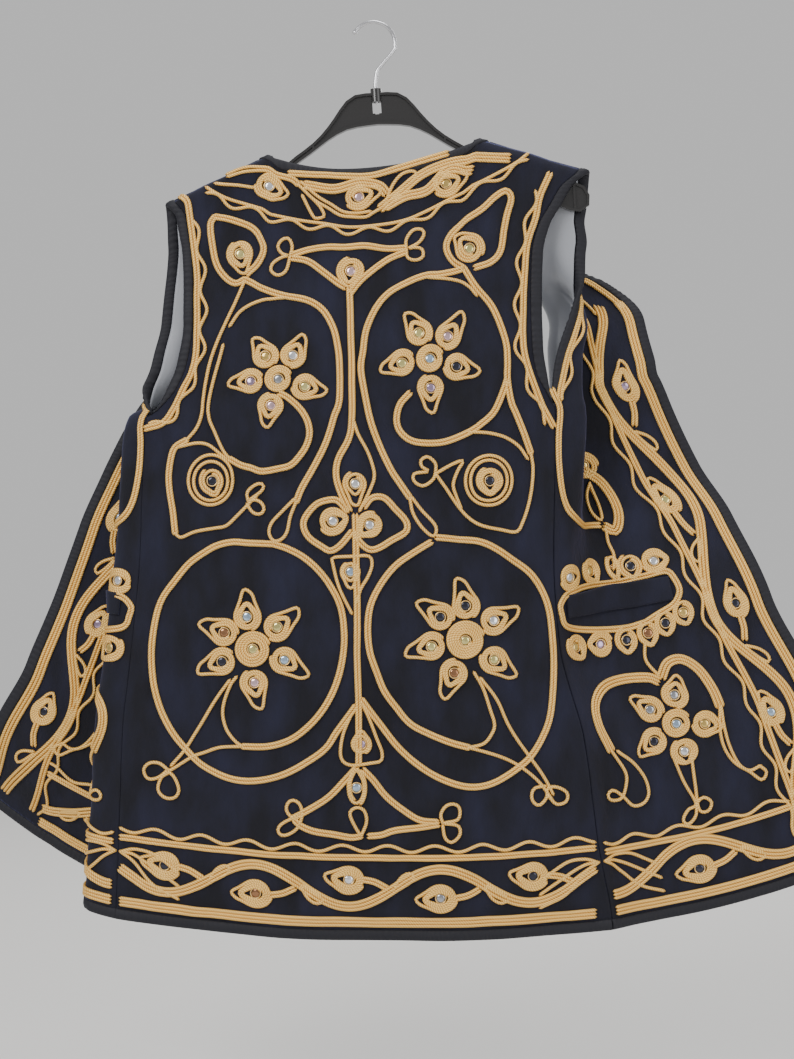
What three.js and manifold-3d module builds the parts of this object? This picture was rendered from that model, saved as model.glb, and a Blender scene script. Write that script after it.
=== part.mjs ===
// Embroidered velvet waistcoat on a plastic hanger, its back to the viewer and both fronts
// swung outwards. Millimetres, +Z up: X runs to the right across the back, Y from the back's
// outer face towards the fronts, and the origin is the highest inside point of the hook.
import * as THREE from "three";
import { mergeVertices } from "three/addons/utils/BufferGeometryUtils.js";
import Module from "manifold-3d";

const wasm = await Module();
wasm.setup();

// Cloth walls, on either side of the face where the velvet and its lining meet.
const seamGap = 0.3;
const velvetWall = 1.8;
const liningWall = 1;
const bindingWidth = 10;
const bindingRoll = 1.1; // how far the rolled binding stands out past velvet and lining

// The back's cut, across from its centre line and down from the nape.
const nape = { z: -132, halfNeck: 95, neckRise: 18 };
const shoulder = { half: 193, drop: 20 };
const underarmDrop = 221;
const hem = { centre: 698, curve: 12, lean: 5, half: 230 };
const belly = 14; // how far the middle of the back stands out
const hemWave = { height: 3.5, length: 175, from: 380, over: 250 };
const seatRadius = 6.5; // the roll of the shoulders over the hanger
const fullBelly = 200; // the drop where the belly is full
const liftFade = 150; // the drop where the roll's lift has died out

// Where the back hangs, row by row below the nape: its cut's half width, where its two edges
// and its centre line lie, and how far it slopes up to the right, in degrees.
const backRows = table(["drop", "half", "left", "right", "centre", "tilt"], [
  [-18, 193, -189, 197, -3, 4.5],
  [20, 193, -189, 197, -10, 4.5],
  [34, 178, -179, 181, -12, 4.5],
  [50, 171, -176, 171, -15, 4.5],
  [68, 164, -173, 160, -18, 4.5],
  [92, 160, -172, 154, -20, 4.4],
  [130, 159, -172, 153, -20, 4],
  [170, 163, -178, 154, -19, 3],
  [196, 171, -188, 158, -18, 2.3],
  [216, 180, -198, 162, -17, 1.8],
  [221, 184, -204, 164, -17, 1.6],
  [236, 187, -207, 165, -17, 1.4],
  [350, 190, -211, 163, -16, 0.6],
  [430, 197, -218, 168, -15, 0],
  [520, 213, -227, 191, -14, 0],
  [610, 221, -230, 203, -14, 0],
  [698, 230, -233, 217, -14, 0],
]);

// Each front, row by row. A row starts on the armhole edge or the side seam, aside of and
// behind the back's own edge. Its headings are degrees: 0 is outwards, 90 away from the
// viewer, 180 inwards. The cloth keeps the first heading for the lead, turns to the second
// for the run, then turns to the third. The climb is what its far edge gains in height.
const frontColumns =
  ["drop", "width", "aside", "behind", "first", "lead", "second", "run", "third", "climb"];
const frontRows = {
  right: table(frontColumns, [
    [20, 100, 0, 0, 180, 16, 180, 2, 180, 31],
    [34, 102, 12, 12, 180, 16, 180, 5, 180, 31],
    [60, 108, 28, 15, 178, 16, 180, 10, 176, 29],
    [85, 116, 40, 15, 172, 16, 180, 15, 135, 27],
    [108, 125, 40, 14, 150, 16, 180, 14, 56, 25],
    [133, 140, 31, 12, 75, 16, 178, 8, 18, 25],
    [165, 156, 17, 9, 25, 16, 172, 6, 10, 25],
    [200, 168, 4, 4, 20, 20, 168, 5, 8, 27],
    [221, 175, 0, 0, 24, 22, 158, 7, 8, 28],
    [300, 188, 0, 0, 34, 20, 105, 6, 6, 31],
    [350, 196, 0, 0, 42, 14, 60, 6, 5, 34],
    [430, 212, 0, 0, 46, 10, 26, 6, 4, 41],
    [520, 226, 0, 0, 36, 10, 20, 6, 4, 50],
    [698, 250, 0, 0, 30, 10, 14, 6, 2, 66],
  ]),
  left: table(frontColumns, [
    [20, 100, 0, 0, 180, 16, 180, 2, 180, 41],
    [34, 102, 6, 12, 180, 16, 180, 5, 180, 40],
    [60, 108, 13, 15, 180, 16, 180, 10, 180, 37],
    [101, 122, 19, 16, 180, 16, 180, 26, 174, 30],
    [130, 136, 22, 16, 180, 16, 180, 42, 140, 26],
    [160, 152, 25, 15, 176, 16, 180, 52, 80, 24],
    [188, 164, 25, 12, 155, 16, 180, 52, 30, 23],
    [208, 170, 13, 7, 96, 14, 180, 52, 15, 23],
    [221, 175, 0, 0, 34, 13, 180, 52, 10, 23],
    [262, 182, 0, 0, 20, 12, 180, 47, 8, 24],
    [300, 188, 0, 0, 16, 12, 178, 42, 8, 25],
    [350, 194, 0, 0, 14, 14, 176, 36, 8, 28],
    [430, 204, 0, 0, 16, 16, 174, 32, 10, 42],
    [520, 216, 0, 0, 18, 18, 170, 29, 10, 68],
    [610, 226, 0, 0, 20, 20, 150, 20, 12, 90],
    [698, 234, 0, 0, 22, 20, 100, 34, 16, 106],
  ]),
};
const turnLength = 28; // cloth taken by each turn of a front's fold
const pathStep = 3; // length of the pieces that a front's row is followed in
const shoulderEase = 60; // how far below the shoulder seam a front takes up its own rows
const nearClimb = { share: 0.3, from: 60, over: 200 }; // a row climbs less near its seam, lower down

// The pocket's lip lies on one band of the front's rows and over these of its columns.
const pocket = { band: 3, from: 1, to: 11, gape: 9 };

// The hanger, in its own frame: the middle of the bridge's top is its origin.
const hanger = { x: 2.5, z: -63.4, tilt: 3.6, depth: 7, web: 2.2, rim: 2.4, rib: 1.8 };
const ribsAt = [60, 96, 126, 154, 174];
const wire = { diameter: 3.4, hookRadius: 19.7, tipTurn: 155, knob: 7, ball: 4.6 };

const degrees = Math.PI / 180;
const clamp = (t) => Math.min(Math.max(t, 0), 1);
const ease = (t) => clamp(t) ** 2 * (3 - 2 * clamp(t));
const mix = (a, b, t) => a + (b - a) * t;
const steps = (count) => Array.from({ length: count + 1 }, (_, i) => i / count);

function table(names, rows) {
  return rows.map((row) => Object.fromEntries(names.map((name, i) => [name, row[i]])));
}

// A table's column at any drop: a smooth curve through its rows that never overshoots them.
function at(rows, name, drop) {
  const last = rows.length - 1;
  if (drop <= rows[0].drop) return rows[0][name];
  if (drop >= rows[last].drop) return rows[last][name];
  const i = rows.findIndex((row) => row.drop > drop) - 1;
  const slope = (k) => (rows[k + 1][name] - rows[k][name]) / (rows[k + 1].drop - rows[k].drop);
  const bend = (k) => {
    if (k === 0 || k === last) return 0;
    const before = slope(k - 1);
    const after = slope(k);
    return before * after <= 0 ? 0 : (2 * before * after) / (before + after);
  };
  const span = rows[i + 1].drop - rows[i].drop;
  const t = (drop - rows[i].drop) / span;
  const values = mix(rows[i][name], rows[i + 1][name], ease(t));
  return values + t * (1 - t) * span * ((1 - t) * bend(i) - t * bend(i + 1));
}

// The back's upper edge: a shallow neck scoop, then a straight shoulder.
function topDrop(across) {
  const a = Math.abs(across);
  if (a < nape.halfNeck) return -nape.neckRise * (a / nape.halfNeck) ** 2.2;
  const out = (a - nape.halfNeck) / (shoulder.half - nape.halfNeck);
  return mix(-nape.neckRise, shoulder.drop, out);
}

function hemDrop(across) {
  const a = across / hem.half;
  return hem.centre - hem.curve * a * a + hem.lean * a;
}

// The roll over the hanger: how far the cloth stands off, and the height it keeps by rolling.
function seat(below) {
  const turn = Math.min(below / seatRadius, Math.PI / 2);
  return { off: seatRadius * Math.sin(turn), gain: seatRadius * (turn - 1 + Math.cos(turn)) };
}

// A point of the back, from its place in the cut.
function backPoint(across, drop) {
  const share = across / at(backRows, "half", drop);
  const centre = at(backRows, "centre", drop);
  const edge = at(backRows, across < 0 ? "left" : "right", drop);
  const x = centre + Math.abs(share) * (edge - centre);
  const onHanger = ease((Math.abs(across) - nape.halfNeck + 10) / 10);
  const roll = seat(drop - topDrop(across));
  const tilt = Math.tan(at(backRows, "tilt", drop) * degrees);
  const lift = onHanger * roll.gain * (1 - ease(drop / liftFade));
  const inside = 1 - Math.min(share * share, 1);
  const wave = hemWave.height * Math.sin((2 * Math.PI * across) / hemWave.length + 0.8);
  const hang = belly * ease(drop / fullBelly) - wave * ease((drop - hemWave.from) / hemWave.over);
  const y = -mix(seatRadius, roll.off, onHanger) - hang * inside;
  return new THREE.Vector3(x, y, nape.z - drop + (x - centre) * tilt + lift);
}

// A point of a front: s is the length of cloth from the armhole edge or side seam.
function frontPoint(side, s, drop) {
  const rows = frontRows[side];
  const sign = side === "left" ? -1 : 1;
  const row = {};
  for (const name of frontColumns) row[name] = at(rows, name, drop);
  const start = backPoint(sign * at(backRows, "half", drop), drop);
  const count = Math.max(2, Math.ceil(Math.abs(s) / pathStep));
  const piece = s / count;
  let x = start.x + sign * row.aside;
  let y = start.y + row.behind;
  for (let i = 0; i < count; i++) {
    const along = (i + 0.5) * piece;
    const turned = ease((along - row.lead) / turnLength);
    const returned = ease((along - row.lead - turnLength - row.run) / turnLength);
    const heading = mix(mix(row.first, row.second, turned), row.third, returned) * degrees;
    x += sign * Math.cos(heading) * piece;
    y += Math.sin(heading) * piece;
  }
  const share = s / row.width;
  const lower = ease((drop - nearClimb.from) / nearClimb.over);
  const sweep = mix(1, mix(nearClimb.share, 1, share), lower);
  const point = new THREE.Vector3(x, y, start.z + row.climb * share * sweep);
  const below = drop - shoulder.drop;
  if (below >= shoulderEase) return point;
  const across = sign * mix(shoulder.half, nape.halfNeck, share);
  const seam = backPoint(across, topDrop(across));
  const roll = seat(below);
  seam.add(new THREE.Vector3(0, roll.off, roll.gain - below));
  return seam.lerp(point, ease(below / shoulderEase));
}

// A place on the cloth with its outward direction, from short steps along the cut.
function frame(place, u, v, flip) {
  const step = 1.5;
  const along = place(u + step, v).sub(place(u - step, v));
  const down = place(u, v + step).sub(place(u, v - step));
  const out = along.cross(down).normalize();
  return { point: place(u, v), out: flip ? out.negate() : out };
}
const onBack = (across, drop) => frame(backPoint, across, drop, true);
const onFront = (side, s, drop) =>
  frame((u, v) => frontPoint(side, u, v), s, drop, side === "right");

// Two pieces sewn edge to edge share the direction between them, so their walls are mitred.
function mitred(place, other) {
  return { point: place.point, out: place.out.clone().add(other.out).normalize() };
}

// A closed wall over a grid of frames, between two distances from the cloth's middle face.
function wall(rows, inner, outer, ring = false) {
  const count = rows.length;
  const columns = rows[0].length;
  const positions = [];
  for (const distance of [inner, outer]) {
    for (const row of rows) {
      row.forEach(({ point, out }, j) => {
        const d = Array.isArray(distance) ? distance[j] : distance;
        positions.push(point.x + out.x * d, point.y + out.y * d, point.z + out.z * d);
      });
    }
  }
  const index = [];
  const quad = (a, b, c, d) => index.push(a, b, c, a, c, d);
  const id = (i, j, top) => (i % count) * columns + j + (top ? count * columns : 0);
  const last = ring ? count : count - 1;
  const end = columns - 1;
  for (let i = 0; i < last; i++) {
    for (let j = 0; j < end; j++) {
      quad(id(i, j, 1), id(i, j + 1, 1), id(i + 1, j + 1, 1), id(i + 1, j, 1));
      quad(id(i, j, 0), id(i + 1, j, 0), id(i + 1, j + 1, 0), id(i, j + 1, 0));
    }
    quad(id(i, 0, 1), id(i + 1, 0, 1), id(i + 1, 0, 0), id(i, 0, 0));
    quad(id(i, end, 1), id(i, end, 0), id(i + 1, end, 0), id(i + 1, end, 1));
  }
  for (let j = 0; j < end && !ring; j++) {
    quad(id(0, j, 1), id(0, j, 0), id(0, j + 1, 0), id(0, j + 1, 1));
    quad(id(last, j, 1), id(last, j + 1, 1), id(last, j + 1, 0), id(last, j, 0));
  }
  const geometry = new THREE.BufferGeometry();
  geometry.setAttribute("position", new THREE.Float32BufferAttribute(positions, 3));
  geometry.setIndex(index);
  return outwards(geometry);
}

// Turns every face of a closed mesh round when its volume comes out negative.
function outwards(geometry) {
  const index = geometry.index.array;
  const position = geometry.attributes.position;
  const corner = (k) => new THREE.Vector3().fromBufferAttribute(position, index[k]);
  let volume = 0;
  for (let k = 0; k < index.length; k += 3) {
    volume += corner(k).dot(corner(k + 1).cross(corner(k + 2)));
  }
  for (let k = 0; k < index.length && volume < 0; k += 3) {
    [index[k + 1], index[k + 2]] = [index[k + 2], index[k + 1]];
  }
  return geometry;
}

function solid(geometry) {
  const bare = geometry.index ? geometry.toNonIndexed() : geometry.clone();
  bare.deleteAttribute("normal");
  bare.deleteAttribute("uv");
  const merged = mergeVertices(bare, 1e-4);
  return new wasm.Manifold(new wasm.Mesh({
    numProp: 3,
    vertProperties: merged.attributes.position.array,
    triVerts: new Uint32Array(merged.index.array),
  }));
}

function geometryOf(shape) {
  const mesh = shape.getMesh();
  const geometry = new THREE.BufferGeometry();
  geometry.setAttribute("position", new THREE.BufferAttribute(mesh.vertProperties, 3));
  geometry.setIndex(new THREE.BufferAttribute(mesh.triVerts, 1));
  return geometry;
}

const cloth = (color, roughness) =>
  new THREE.MeshStandardMaterial({ color, roughness, flatShading: true });
const velvet = cloth(0x12163a, 0.95);
const satin = cloth(0x35353d, 0.4);
const bindingVelvet = cloth(0x0d1030, 0.9);
const plastic = new THREE.MeshStandardMaterial({ color: 0x111114, roughness: 0.35 });
const chrome = new THREE.MeshStandardMaterial({ color: 0xc9c9cc, roughness: 0.2, metalness: 1 });

const group = new THREE.Group();
function add(name, geometry, material) {
  const mesh = new THREE.Mesh(geometry, material);
  mesh.name = name;
  group.add(mesh);
}

const velvetWalls = [seamGap / 2, seamGap / 2 + velvetWall];
const liningWalls = [-seamGap / 2 - liningWall, -seamGap / 2];
// A binding's thickness at its sewn edge, its middle and its rolled edge.
const bindingWalls = [
  [liningWalls[0] - 0.2, liningWalls[0] - bindingRoll, liningWalls[0] + 0.3],
  [velvetWalls[1] + 0.2, velvetWalls[1] + bindingRoll, velvetWalls[1] - 0.4],
];
const strip = [0, 0.5, 1]; // from a binding's sewn edge to its rolled edge
const within = seamGap / 2;
const insetFade = 30;
const nearSeam = 1.5; // a frame closer to a side seam than this is on it

// How far the armhole binding reaches in from the edge: it narrows to nothing at the underarm.
const armholeInset = (drop) =>
  (drop > underarmDrop ? 0 : mix(bindingWidth, 1, ease((drop - underarmDrop) / insetFade + 1)));

// The neck binding's sewn edge, which meets the shoulder seam a binding's width along it.
const neckSewn = nape.halfNeck + bindingWidth;
const sewnDrop = (across) =>
  mix(bindingWidth, topDrop(neckSewn), clamp(Math.abs(across) / neckSewn) ** 2.2);

const sides = { left: -1, right: 1 };
const halfAt = (drop) => at(backRows, "half", drop);
const widthAt = (side, drop) => at(frontRows[side], "width", drop);
const bindingFoot = (u) => hemDrop(u * hem.half) - bindingWidth;

// Every piece shares these rows, as parts of the way from the shoulder to the underarm and
// from there to the hem's binding, so that neighbours meet row by row.
const rowsAbove = [0, 0.03, 0.065, 0.14, 0.25, 0.37, 0.5, 0.63, 0.76, 0.88, 1];
const rowsBelow = [0.08, 0.19, 0.3, 0.365, 0.41, 0.5, 0.64, 0.82, 1];
const frontDrops = (side) => [
  ...rowsAbove.map((level) => mix(shoulder.drop + within, underarmDrop, level)),
  ...rowsBelow.map((level) => mix(underarmDrop, bindingFoot(sides[side]) - within, level)),
];

// Columns of the back, by where they start along the neck and shoulders.
const panelHalf = shoulder.half - bindingWidth - within;
const starts = [11, 33, 55, 74, 86, 94, neckSewn, 132, 160, panelHalf];
const columns = [...starts.map((start) => -start).reverse(), ...starts];

// A frame on the back. At the side seams it is mitred to the front.
function backFrame(across, drop) {
  const side = across < 0 ? "left" : "right";
  const place = onBack(across, drop);
  const atSeam = halfAt(drop) - Math.abs(across) < nearSeam && drop >= underarmDrop;
  return atSeam ? mitred(place, onFront(side, 0, drop)) : place;
}

function frontFrame(side, s, drop) {
  const place = onFront(side, s, drop);
  const atSeam = s < nearSeam && drop >= underarmDrop;
  return atSeam ? mitred(place, onBack(sides[side] * halfAt(drop), drop)) : place;
}

function backRow(start, drops) {
  const share = start / panelHalf;
  const top = (Math.abs(start) < neckSewn ? sewnDrop(start) : topDrop(start)) + within;
  const foot = bindingFoot(share) - within;
  return drops.map((drop, i) => {
    const level = i < rowsAbove.length ? rowsAbove[i] : rowsBelow[i - rowsAbove.length];
    const down = i < rowsAbove.length ? mix(top, underarmDrop, level) : mix(underarmDrop, foot, level);
    return backFrame(share * (halfAt(down) - armholeInset(down) - within), down);
  });
}
const byColumn = columns.map((start) => backRow(start, frontDrops("left")));
const back = byColumn[0].map((_, i) => byColumn.map((column) => column[i]));
add("velvet_back", wall(back, ...velvetWalls), velvet);
add("lining_back", wall(back, ...liningWalls), satin);

add("binding_hem_back", wall(columns.map((start) => strip.map((k) => {
  const share = start / panelHalf;
  const drop = mix(bindingFoot(share) + within, hemDrop(share * hem.half), k);
  return backFrame(share * (halfAt(drop) - within), drop);
})), ...bindingWalls), bindingVelvet);

const neckColumns = columns.filter((start) => Math.abs(start) <= neckSewn);
add("binding_neck", wall(neckColumns.map((start) => strip.map((k) => {
  const edge = (start * nape.halfNeck) / neckSewn;
  const atSeam = Math.abs(start) === neckSewn;
  const sewn = atSeam ? start - Math.sign(start) * 5 * within : start;
  const foot = atSeam ? topDrop(sewn) : sewnDrop(sewn) - 4 * within;
  return onBack(mix(sewn, edge, k), mix(foot, topDrop(edge), k));
})), ...bindingWalls), bindingVelvet);

// A front's columns gather in its fold: four in each turn, and the others beyond it.
const turnStops = [0, 0.33, 0.67, 1];
const restStops = [0.13, 0.26, 0.4, 0.55, 0.7, 0.85, 1];
function frontStops(side, drop, near, far) {
  const lead = at(frontRows[side], "lead", drop);
  const run = at(frontRows[side], "run", drop);
  const turns = turnStops.map((t) => t * turnLength);
  const fold = [...turns.map((t) => lead + t), ...turns.map((t) => lead + turnLength + run + t)];
  const rest = restStops.map((t) => mix(fold[fold.length - 1], far, t));
  return [near, ...fold, ...rest];
}

for (const side of Object.keys(sides)) {
  const drops = frontDrops(side);
  const grid = drops.map((drop) => {
    const far = widthAt(side, drop) - bindingWidth - within;
    return frontStops(side, drop, armholeInset(drop) + within, far)
      .map((s) => frontFrame(side, s, drop));
  });
  add("velvet_front_" + side, wall(grid, ...velvetWalls), velvet);
  add("lining_front_" + side, wall(grid, ...liningWalls), satin);

  add("binding_front_edge_" + side, wall(drops.map((drop) => strip.map((k) => {
    const width = widthAt(side, drop);
    return onFront(side, mix(width - bindingWidth + within, width, k), drop);
  })), ...bindingWalls), bindingVelvet);

  const foot = bindingFoot(sides[side]) + within;
  const width = widthAt(side, foot);
  const hemStops = [...frontStops(side, foot, within, width - bindingWidth - within), width];
  add("binding_hem_front_" + side, wall(hemStops.map((s) => strip.map((k) =>
    frontFrame(side, s, mix(foot, foot + bindingWidth - within, k)))), ...bindingWalls),
  bindingVelvet);

  // One ring round the armhole: down the back's edge, and up the front's.
  const edgeDrops = drops.slice(0, rowsAbove.length);
  const sewn = (drop) => armholeInset(drop) - 2 * within;
  const seamTop = topDrop(panelHalf) + within;
  const downBack = edgeDrops.map((drop, i) => strip.map((k) => {
    const down = mix(mix(seamTop, underarmDrop, rowsAbove[i]), drop, k);
    return backFrame(sides[side] * (halfAt(down) - sewn(down) * (1 - k)), down);
  }));
  const upFront = edgeDrops.slice(0, -1).reverse().map((drop) => strip.map((k) =>
    frontFrame(side, sewn(drop) * (1 - k), drop)));
  add("binding_armhole_" + side, wall([...downBack, ...upFront], ...bindingWalls, true),
    bindingVelvet);

  // The pocket's lip: sewn to the front along its foot and both ends, and gaping above.
  const band = rowsAbove.length + pocket.band;
  const [mouth, sill] = [grid[band], grid[band + 1]];
  const lip = strip.map((h) => sill.slice(pocket.from, pocket.to + 1).map((low, i) => {
    const high = mouth[pocket.from + i];
    const point = low.point.clone().lerp(high.point, h);
    const out = low.out.clone().lerp(high.out, h).normalize();
    const share = i / (pocket.to - pocket.from);
    const off = velvetWalls[1] + seamGap + pocket.gape * h * Math.sin(Math.PI * share);
    return { point: point.addScaledVector(out, off), out };
  }));
  add("pocket_lip_" + side, wall(lip, 0, velvetWall), velvet);
}

// The hanger's outline: a bridge, two arms that deepen outwards, and round ends.
function hangerOutline(inset) {
  const over = [[0, 0], [18, -0.5], [29, -7], [39, -20], [50, -33], [62, -43.5], [78, -54],
    [92, -64], [108, -68.5], [140, -79], [176, -92.5], [185, -98], [188, -106]];
  const under = [[187, -114], [178, -119.5], [166, -116], [120, -90], [84, -65], [62, -51],
    [44, -39], [26, -31], [0, -28.5]];
  const half = new THREE.SplineCurve([...over, ...under].map(([x, z]) => new THREE.Vector2(x, z)));
  const right = half.getSpacedPoints(46);
  const loop = [...right, ...right.slice(1, -1).reverse().map((p) => new THREE.Vector2(-p.x, p.y))];
  return loop.map((p, i) => {
    const before = loop[(i + loop.length - 1) % loop.length];
    const after = loop[(i + 1) % loop.length];
    const run = after.clone().sub(before).normalize();
    return new THREE.Vector2(p.x + run.y * inset, p.y - run.x * inset);
  });
}

// A flat outline in X and Z, thickened along Y from one depth to another.
function plate(points, from, to) {
  const shape = new THREE.Shape(points);
  const geometry = new THREE.ExtrudeGeometry(shape, { depth: to - from, bevelEnabled: false });
  geometry.rotateX(Math.PI / 2);
  return solid(geometry.translate(0, to, 0));
}

const upright = (radius, height, x, z) =>
  new THREE.CylinderGeometry(radius, radius, height, 16).rotateX(Math.PI / 2).translate(x, 0, z);

function hangerBody() {
  const half = hanger.depth / 2;
  const outline = hangerOutline(hanger.rim);
  let recess = plate(outline, hanger.web / 2, half + 1)
    .add(plate(outline, -half - 1, -hanger.web / 2));
  for (const x of ribsAt) {
    for (const sign of [-1, 1]) {
      const rib = new THREE.BoxGeometry(hanger.rib, hanger.depth, 80).translate(sign * x, 0, -80);
      recess = recess.subtract(solid(rib));
    }
  }
  const bore = upright(wire.diameter / 2 + 0.4, 30, 0, -4);
  const well = upright(wire.knob / 2 + 0.6, 10, 0, -13.2);
  const body = plate(hangerOutline(0), -half, half).subtract(recess)
    .add(solid(upright(5, 12, 0, -2)))
    .subtract(solid(bore))
    .subtract(solid(well));
  return geometryOf(body).rotateY(-hanger.tilt * degrees).translate(hanger.x, 0, hanger.z);
}
add("hanger_body", hangerBody(), plastic);

// The hook's wire: round the hook, slanting back under it, and down through the bridge.
function hookWire() {
  const radius = wire.hookRadius;
  const centre = wire.diameter / 2 - radius;
  const round = steps(12).map((t) => {
    const turn = mix(wire.tipTurn, -28, t) * degrees;
    return new THREE.Vector3(radius * Math.cos(turn), 0, centre + radius * Math.sin(turn));
  });
  const lean = Math.tan(hanger.tilt * degrees);
  const onStem = (z) => [hanger.x + (z - hanger.z) * -lean, z];
  const stem = [[8, -37], [3.4, -43.5], onStem(-54.5), onStem(-64), onStem(-72.5)];
  const bends = [...round, ...stem.map(([x, z]) => new THREE.Vector3(x, 0, z))];
  const section = new THREE.Shape(steps(8).slice(1).map((t) => new THREE.Vector2(
    (Math.cos(2 * Math.PI * t) * wire.diameter) / 2,
    (Math.sin(2 * Math.PI * t) * wire.diameter) / 2,
  )));
  const path = new THREE.CatmullRomCurve3(bends);
  const tube = new THREE.ExtrudeGeometry(section, { steps: 38, extrudePath: path });
  const ball = new THREE.SphereGeometry(wire.ball / 2, 12, 8).translate(round[0].x, 0, round[0].z);
  const [knobX, knobZ] = onStem(-73.5);
  const knob = upright(wire.knob / 2, 3, knobX, knobZ);
  return geometryOf(solid(tube).add(solid(ball)).add(solid(knob)));
}
add("hanger_hook", hookWire(), chrome);

export default group;
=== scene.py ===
# Embroidered velvet waistcoat hanging on a plastic hanger, its back to the viewer.
import math
import bpy
import bmesh
import numpy as np
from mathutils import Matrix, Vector


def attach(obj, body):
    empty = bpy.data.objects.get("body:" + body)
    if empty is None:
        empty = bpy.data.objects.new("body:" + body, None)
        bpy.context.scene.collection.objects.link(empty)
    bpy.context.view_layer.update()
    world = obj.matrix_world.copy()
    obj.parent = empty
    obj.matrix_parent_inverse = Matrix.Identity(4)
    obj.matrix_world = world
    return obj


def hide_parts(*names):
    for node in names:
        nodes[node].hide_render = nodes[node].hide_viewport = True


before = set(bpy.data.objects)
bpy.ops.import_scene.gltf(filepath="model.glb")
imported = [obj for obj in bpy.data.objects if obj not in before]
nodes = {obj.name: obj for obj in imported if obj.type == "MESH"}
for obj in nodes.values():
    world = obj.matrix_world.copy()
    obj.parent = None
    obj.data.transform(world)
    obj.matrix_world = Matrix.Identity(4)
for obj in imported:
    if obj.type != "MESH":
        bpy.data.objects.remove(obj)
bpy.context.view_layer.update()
mm = 0.001 # every size below is in millimetres unless it says metres


# The cut of the cloth, row by row below the nape of the neck
cut = {
    "napeZ": -132, "halfNeck": 95, "neckRise": 18, "shoulderHalf": 193.0, "shoulderDrop": 20,
    "underarm": 221, "hemDrop": 698, "hemCurve": 12, "hemLean": 5, "hemHalf": 230.0,
    "belly": 14, "seat": 6.5, "turn": 28, "shoulderEase": 60, "velvetTop": 1.95, "liningTop": -1.15,
    "neckSewn": 105.0, "binding": 10.0,
}
backNames = "drop half left right centre tilt"
backRows = [
    [-18, 193, -189, 197, -3, 4.5],
    [20, 193, -189, 197, -10, 4.5],
    [34, 178, -179, 181, -12, 4.5],
    [50, 171, -176, 171, -15, 4.5],
    [68, 164, -173, 160, -18, 4.5],
    [92, 160, -172, 154, -20, 4.4],
    [130, 159, -172, 153, -20, 4],
    [170, 163, -178, 154, -19, 3],
    [196, 171, -188, 158, -18, 2.3],
    [216, 180, -198, 162, -17, 1.8],
    [221, 184, -204, 164, -17, 1.6],
    [236, 187, -207, 165, -17, 1.4],
    [350, 190, -211, 163, -16, 0.6],
    [430, 197, -218, 168, -15, 0],
    [520, 213, -227, 191, -14, 0],
    [610, 221, -230, 203, -14, 0],
    [698, 230, -233, 217, -14, 0],
]
frontNames = "drop width aside behind first lead second run third climb"
frontRows = {
    "right": [
        [20, 100, 0, 0, 180, 16, 180, 2, 180, 31],
        [34, 102, 12, 12, 180, 16, 180, 5, 180, 31],
        [60, 108, 28, 15, 178, 16, 180, 10, 176, 29],
        [85, 116, 40, 15, 172, 16, 180, 15, 135, 27],
        [108, 125, 40, 14, 150, 16, 180, 14, 56, 25],
        [133, 140, 31, 12, 75, 16, 178, 8, 18, 25],
        [165, 156, 17, 9, 25, 16, 172, 6, 10, 25],
        [200, 168, 4, 4, 20, 20, 168, 5, 8, 27],
        [221, 175, 0, 0, 24, 22, 158, 7, 8, 28],
        [300, 188, 0, 0, 34, 20, 105, 6, 6, 31],
        [350, 196, 0, 0, 42, 14, 60, 6, 5, 34],
        [430, 212, 0, 0, 46, 10, 26, 6, 4, 41],
        [520, 226, 0, 0, 36, 10, 20, 6, 4, 50],
        [698, 250, 0, 0, 30, 10, 14, 6, 2, 66],
    ],
    "left": [
        [20, 100, 0, 0, 180, 16, 180, 2, 180, 41],
        [34, 102, 6, 12, 180, 16, 180, 5, 180, 40],
        [60, 108, 13, 15, 180, 16, 180, 10, 180, 37],
        [101, 122, 19, 16, 180, 16, 180, 26, 174, 30],
        [130, 136, 22, 16, 180, 16, 180, 42, 140, 26],
        [160, 152, 25, 15, 176, 16, 180, 52, 80, 24],
        [188, 164, 25, 12, 155, 16, 180, 52, 30, 23],
        [208, 170, 13, 7, 96, 14, 180, 52, 15, 23],
        [221, 175, 0, 0, 34, 13, 180, 52, 10, 23],
        [262, 182, 0, 0, 20, 12, 180, 47, 8, 24],
        [300, 188, 0, 0, 16, 12, 178, 42, 8, 25],
        [350, 194, 0, 0, 14, 14, 176, 36, 8, 28],
        [430, 204, 0, 0, 16, 16, 174, 32, 10, 42],
        [520, 216, 0, 0, 18, 18, 170, 29, 10, 68],
        [610, 226, 0, 0, 20, 20, 150, 20, 12, 90],
        [698, 234, 0, 0, 22, 20, 100, 34, 16, 106],
    ],
}


def columnsOf(names, rows):
    return dict(zip(names.split(), np.array(rows, float).T))


def clamp(t):
    return np.clip(t, 0.0, 1.0)


def ease(t):
    return clamp(t) ** 2 * (3 - 2 * clamp(t))


def mix(a, b, t):
    return a + (b - a) * t


def curveAt(table, name, drop): # smooth through the rows, never past them
    x, y = table["drop"], table[name]
    drop = np.clip(drop, x[0], x[-1])
    slope = np.diff(y) / np.diff(x)
    bend = np.zeros(len(x))
    before, after = slope[:-1], slope[1:]
    same = before * after > 0
    bend[1:-1][same] = 2 * before[same] * after[same] / (before[same] + after[same])
    i = np.clip(np.searchsorted(x, drop, side="right") - 1, 0, len(x) - 2)
    span = x[i + 1] - x[i]
    t = (drop - x[i]) / span
    values = mix(y[i], y[i + 1], ease(t))
    return values + t * (1 - t) * span * ((1 - t) * bend[i] - t * bend[i + 1])


backTable = columnsOf(backNames, backRows)
frontTables = {side: columnsOf(frontNames, rows) for side, rows in frontRows.items()}
signs = {"left": -1, "right": 1}


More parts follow.
